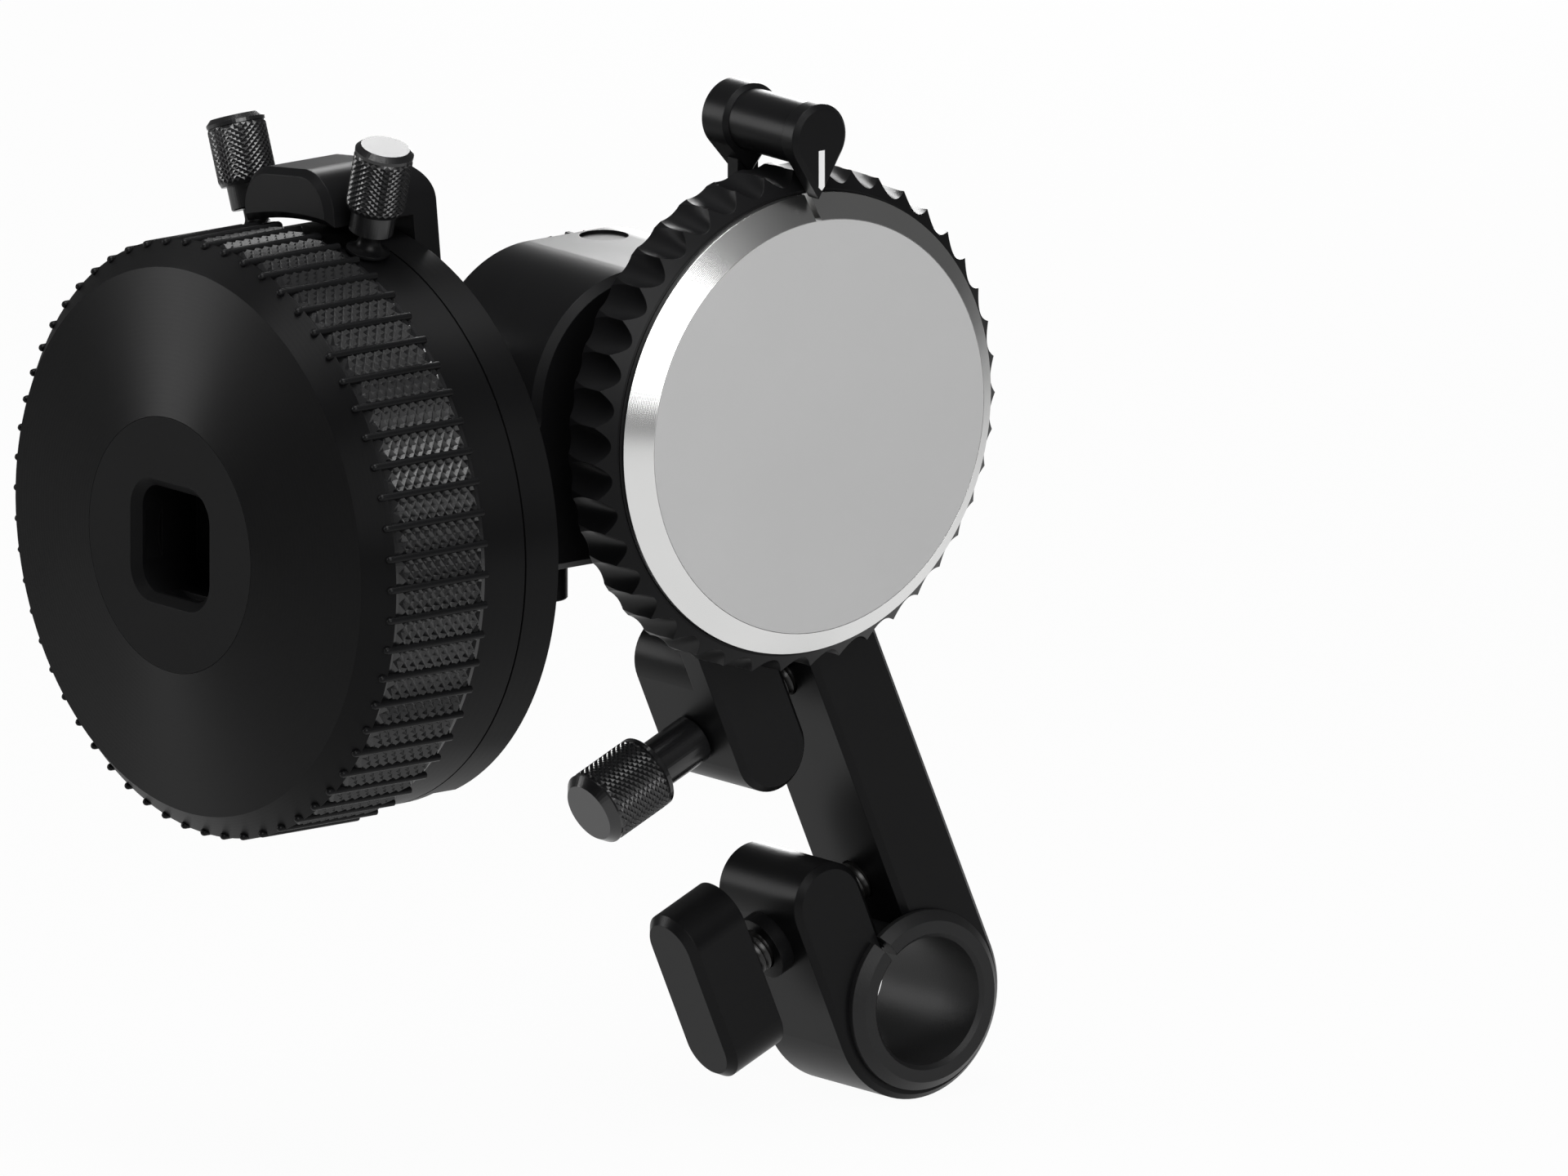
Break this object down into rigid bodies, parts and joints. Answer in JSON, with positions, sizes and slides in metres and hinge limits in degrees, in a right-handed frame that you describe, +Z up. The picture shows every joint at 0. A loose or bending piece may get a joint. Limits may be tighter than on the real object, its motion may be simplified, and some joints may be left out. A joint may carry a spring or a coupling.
{
  "type": "follow focus unit",
  "caption": "Follow focus: ribbed hand wheel with two stops, right-angle gearbox, marking dial with pointer, lens drive gear and a double clamp arm for a 15 mm rod.",
  "frame": {"origin": "centre of the 15 mm rod bore in the lower end of the clamp arm", "axes": "+X along the hand wheel's axis, away from the wheel's face; +Y along the rod and the dial's axis, away from the dial's face; +Z up"},
  "size_m": [0.1112, 0.0702, 0.124],
  "materials": {
    "black_anodised": "satin black anodised, fine bead blast",
    "black_turned": "black anodised over turned metal",
    "black_knurl": "black anodised knurl",
    "black_plastic": "black acetal, matt",
    "silver_satin": "satin silver anodised",
    "grey_plate": "matt light grey write-on plastic",
    "black_steel": "blackened steel",
    "bright_steel": "ground bearing steel",
    "white_line": "white filled line"
  },
  "bodies": {
    "arm": {"clamp_arm": "black_anodised", "rod_bush": "black_plastic", "rod_clamp_washer": "black_steel"},
    "rod_knob": {"rod_wing_knob": "black_anodised", "rod_clamp_screw": "black_steel"},
    "arm_screw": {"arm_thumbscrew": "black_knurl"},
    "housing": {"gearbox_body": "black_anodised", "gearbox_cover": "black_anodised", "cover_screws": "black_steel", "top_cap": "black_anodised", "clamp_stub": "black_anodised", "stub_screws": "black_steel", "wheel_bearings": "bright_steel", "drive_bearings": "bright_steel", "lay_bushes": "bright_steel", "stop_bracket": "black_anodised", "wheel_flange": "black_turned", "neck_screws": "black_steel", "pointer_bracket": "black_anodised", "pointer_screws": "black_steel", "pointer_post": "black_anodised", "pointer_head": "black_anodised", "pointer_line": "white_line"},
    "release": {"release_pin": "black_anodised"},
    "stop_a": {"stop_a_foot": "black_anodised"},
    "stop_a_knob": {"stop_a_knob": "black_knurl"},
    "stop_b": {"stop_b_foot": "black_anodised"},
    "stop_b_knob": {"stop_b_knob": "black_knurl"},
    "wheel": {"wheel_hub_plate": "black_turned", "wheel_face": "black_turned", "wheel_drum": "black_turned", "wheel_grip": "black_knurl", "stop_ring": "black_turned", "wheel_shaft": "bright_steel", "hub_screws": "black_steel", "wheel_bevel_gear": "bright_steel"},
    "lay": {"lay_shaft": "bright_steel", "lay_bevel_gear": "bright_steel", "lay_spur_gear": "bright_steel"},
    "dial": {"drive_shaft": "bright_steel", "drive_spur_gear": "bright_steel", "drive_gear": "black_plastic", "drive_gear_screw": "black_steel", "dial_hub": "black_anodised", "dial_grip_ring": "black_anodised", "dial_bevel_ring": "silver_satin", "marking_plate": "grey_plate"}
  },
  "joints": [
    {"name": "arm_swing", "type": "hinge", "parent": "arm", "child": "housing", "pos_m": [-0.02195, 0, 0.05087], "axis": [0, 1, 0], "range_deg": [-40, 22]},
    {"name": "rod_knob_turn", "type": "hinge", "parent": "arm", "child": "rod_knob", "pos_m": [-0.02471, 0, 0.00426], "axis": [0.9182, 0, 0.3962], "range_deg": [-360, 0]},
    {"name": "arm_screw_turn", "type": "hinge", "parent": "arm", "child": "arm_screw", "pos_m": [-0.03856, 0, 0.02878], "axis": [0.9182, 0, 0.3962], "range_deg": [-360, 0]},
    {"name": "release_press", "type": "slide", "parent": "housing", "child": "release", "axis": [0, 0, 1], "range_m": [0, 0.0015], "stiffness_N_per_m": 300, "springref_m": -0.001},
    {"name": "wheel_turn", "type": "hinge", "parent": "housing", "child": "wheel", "pos_m": [-0.0993, 0.0071, 0.06517], "axis": [1, 0, 0], "continuous": true},
    {"name": "lay_turn", "type": "hinge", "parent": "housing", "child": "lay", "pos_m": [-0.0253, 0.0071, 0.06517], "axis": [0, 1, 0], "continuous": true},
    {"name": "dial_turn", "type": "hinge", "parent": "housing", "child": "dial", "pos_m": [-0.0253, 0, 0.07367], "axis": [0, 1, 0], "continuous": true},
    {"name": "stop_a_slide", "type": "hinge", "parent": "housing", "child": "stop_a", "pos_m": [-0.077, 0.0071, 0.06517], "axis": [-1, 0, 0], "range_deg": [0, 150]},
    {"name": "stop_b_slide", "type": "hinge", "parent": "housing", "child": "stop_b", "pos_m": [-0.077, 0.0071, 0.06517], "axis": [1, 0, 0], "range_deg": [0, 150]},
    {"name": "stop_a_screw", "type": "hinge", "parent": "stop_a", "child": "stop_a_knob", "pos_m": [-0.077, 0.02065, 0.1028], "axis": [0, 0.3387, 0.9409], "range_deg": [0, 360]},
    {"name": "stop_b_screw", "type": "hinge", "parent": "stop_b", "child": "stop_b_knob", "pos_m": [-0.077, -0.00292, 0.10389], "axis": [0, -0.2504, 0.9681], "range_deg": [0, 360]}
  ],
  "couplings": [
    {"joint": "lay_turn", "follows": "wheel_turn", "ratio": 1},
    {"joint": "dial_turn", "follows": "wheel_turn", "ratio": -1}
  ]
}
